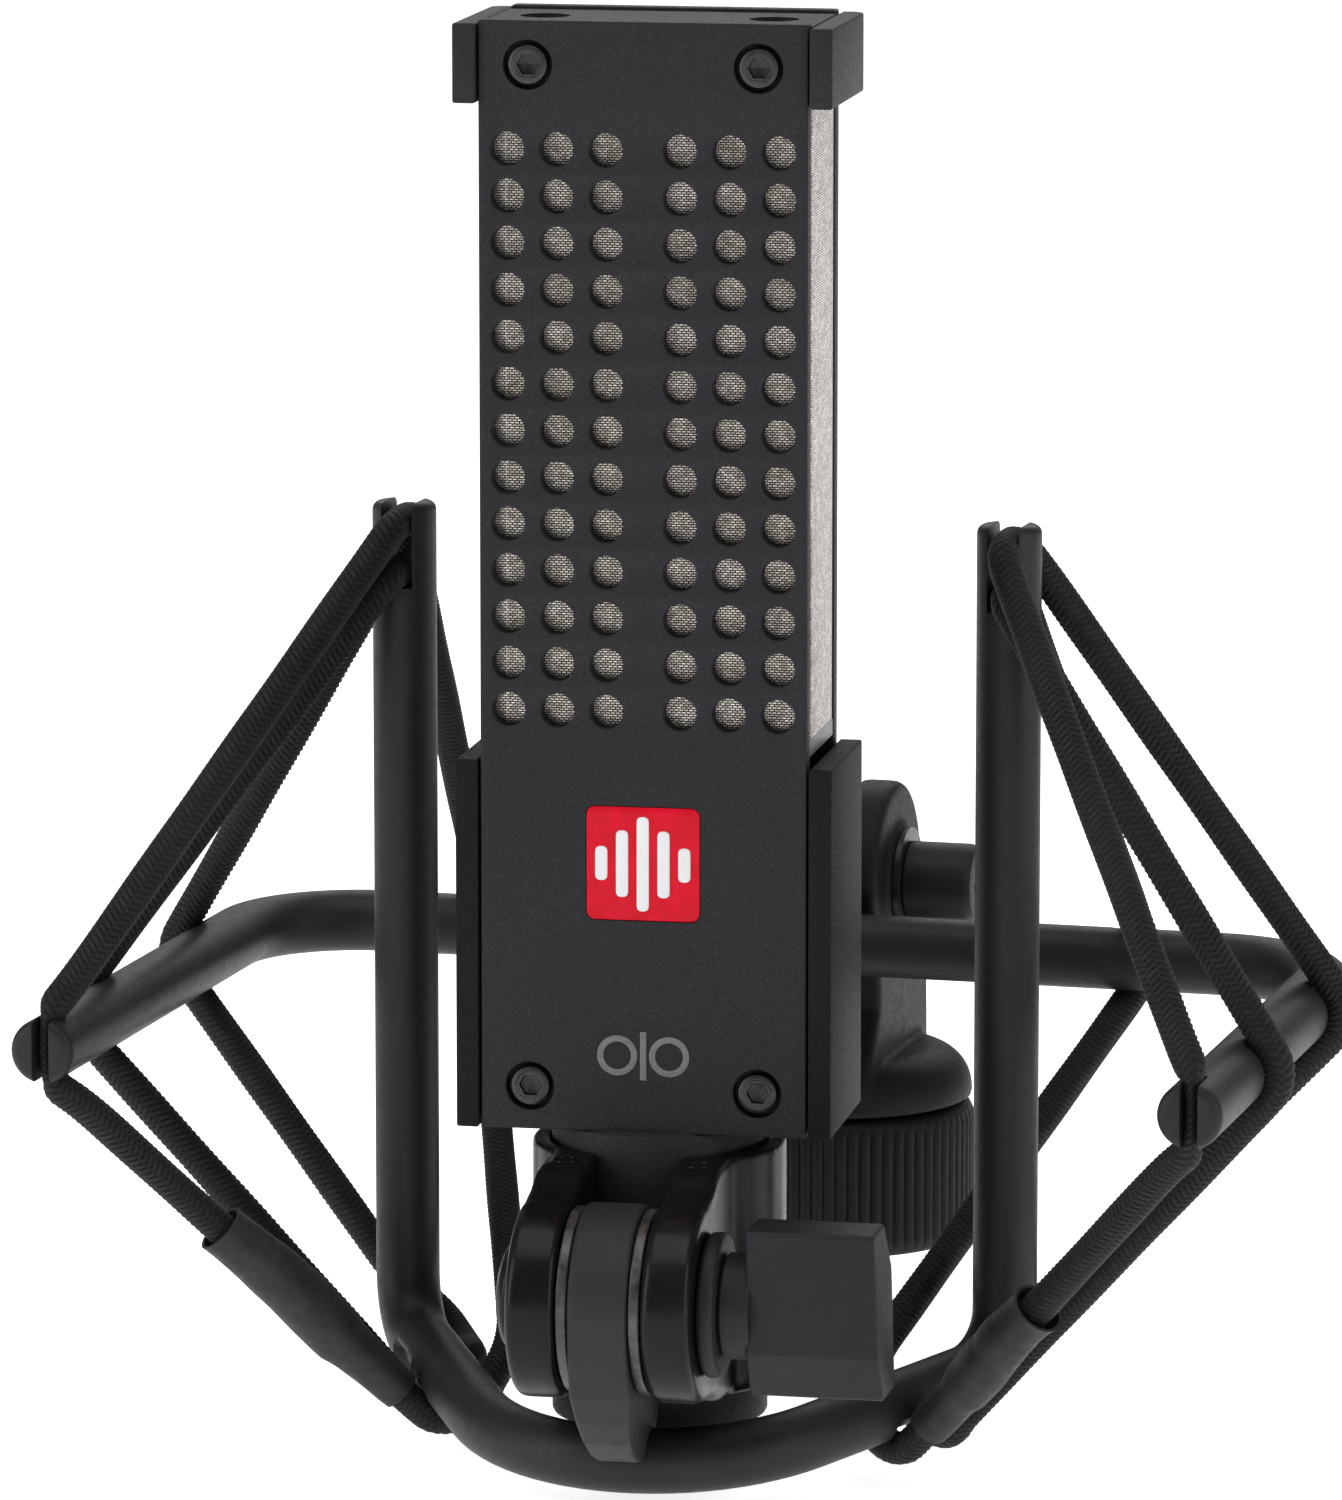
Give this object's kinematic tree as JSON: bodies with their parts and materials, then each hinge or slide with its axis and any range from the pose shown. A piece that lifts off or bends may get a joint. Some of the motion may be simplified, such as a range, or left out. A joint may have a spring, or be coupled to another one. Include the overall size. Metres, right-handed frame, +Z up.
{
  "type": "ribbon microphone in an elastic suspension mount",
  "caption": "Flat perforated ribbon microphone held by a tilting ring clamp in a sprung rod frame, carried on elastic cords by a U-shaped outer frame with a stand swivel.",
  "frame": {"origin": "centre of the stand thread's mouth, at the underside of the stand nut", "axes": "+Z up along the stand thread, -Y is the microphone's front, +X to the right in a front view"},
  "size_m": [0.1568, 0.1442, 0.178],
  "materials": {
    "body_paint": "fine textured powder coat",
    "side_paint": "satin paint",
    "dark_alloy": "black anodised",
    "mesh": "woven wire",
    "badge_red": "enamel",
    "mark_grey": "inlay",
    "black_steel": "black oxide",
    "pole_iron": "machined",
    "magnet": "nickel plated",
    "foil": "bright foil",
    "brass": "machined",
    "plain_steel": "zinc plated",
    "core_iron": "laminated",
    "copper_coil": "lacquered winding",
    "insulator": "moulded",
    "gold": "gold plated",
    "gloss_black": "gloss paint",
    "satin_black": "satin",
    "grey_rubber": "smooth",
    "knob_black": "moulded",
    "rod_black": "satin powder coat",
    "cord": "braided elastic",
    "sleeve_rubber": "matte",
    "stand_plastic": "moulded"
  },
  "bodies": {
    "stand_nut_body": {"stand_nut": "stand_plastic", "thread_adapter": "brass"},
    "swivel_body": {"swivel_base": "stand_plastic", "swivel_bolt": "satin_black", "swivel_washers": "plain_steel", "spigot_circlip": "plain_steel"},
    "swivel_knob_body": {"swivel_knob": "knob_black", "swivel_knob_insert": "brass"},
    "outer_frame": {"outer_yoke": "rod_black", "outer_lug": "rod_black", "elastic_left": "cord", "elastic_right": "cord", "splice_sleeve_left": "sleeve_rubber", "splice_sleeve_right": "sleeve_rubber"},
    "inner_frame": {"inner_yoke": "rod_black", "centre_lug": "rod_black"},
    "mic_clamp": {"clamp_ring": "gloss_black", "tilt_bolt": "satin_black", "friction_washers": "grey_rubber", "knob_washer": "satin_black"},
    "tilt_knob_body": {"tilt_knob": "knob_black", "tilt_knob_insert": "brass"},
    "microphone": {"front_plate": "body_paint", "rear_plate": "body_paint", "top_cap": "body_paint", "left_side_plate": "side_paint", "right_side_plate": "side_paint", "base_block": "dark_alloy", "shelf_plate": "dark_alloy", "mesh_screen": "mesh", "badge": "badge_red", "pattern_inlay": "mark_grey", "plate_screws": "black_steel", "cap_screws": "black_steel", "pole_frame": "pole_iron", "magnets": "magnet", "ribbon": "foil", "ribbon_clamps": "brass", "motor_screws": "plain_steel", "transformer_core": "core_iron", "transformer_coil": "copper_coil", "transformer_bracket": "plain_steel", "bracket_screws": "plain_steel", "connector_neck": "body_paint", "connector_insert": "insulator", "connector_pins": "gold", "neck_nut": "plain_steel"}
  },
  "joints": [
    {"name": "swivel_turn", "type": "hinge", "parent": "stand_nut_body", "child": "swivel_body", "pos_m": [0, 0, 0], "axis": [0, 0, 1], "continuous": true},
    {"name": "swivel_knob_turn", "type": "hinge", "parent": "swivel_body", "child": "swivel_knob_body", "pos_m": [0, 0, 0.0475], "axis": [1, 0, 0], "continuous": true},
    {"name": "frame_tilt", "type": "hinge", "parent": "swivel_body", "child": "outer_frame", "pos_m": [0, 0, 0.0475], "axis": [1, 0, 0], "range_deg": [-70, 16]},
    {"name": "suspension_bounce", "type": "slide", "parent": "outer_frame", "child": "inner_frame", "axis": [0, 0, 1], "range_m": [-0.006, 0.006], "stiffness_N_per_m": 1200, "springref_m": 0.005, "deforming": ["elastic_left", "elastic_right", "splice_sleeve_left", "splice_sleeve_right"]},
    {"name": "clamp_tilt", "type": "hinge", "parent": "inner_frame", "child": "mic_clamp", "pos_m": [0.00188, -0.11293, 0.0161], "axis": [0.9976, 0.0698, 0], "range_deg": [-2, 70]},
    {"name": "tilt_knob_turn", "type": "hinge", "parent": "mic_clamp", "child": "tilt_knob_body", "pos_m": [0.00188, -0.11293, 0.0161], "axis": [0.9976, 0.0698, 0], "continuous": true},
    {"name": "mic_turn", "type": "hinge", "parent": "mic_clamp", "child": "microphone", "pos_m": [0, -0.086, 0.0158], "axis": [0, 0, 1], "continuous": true}
  ]
}
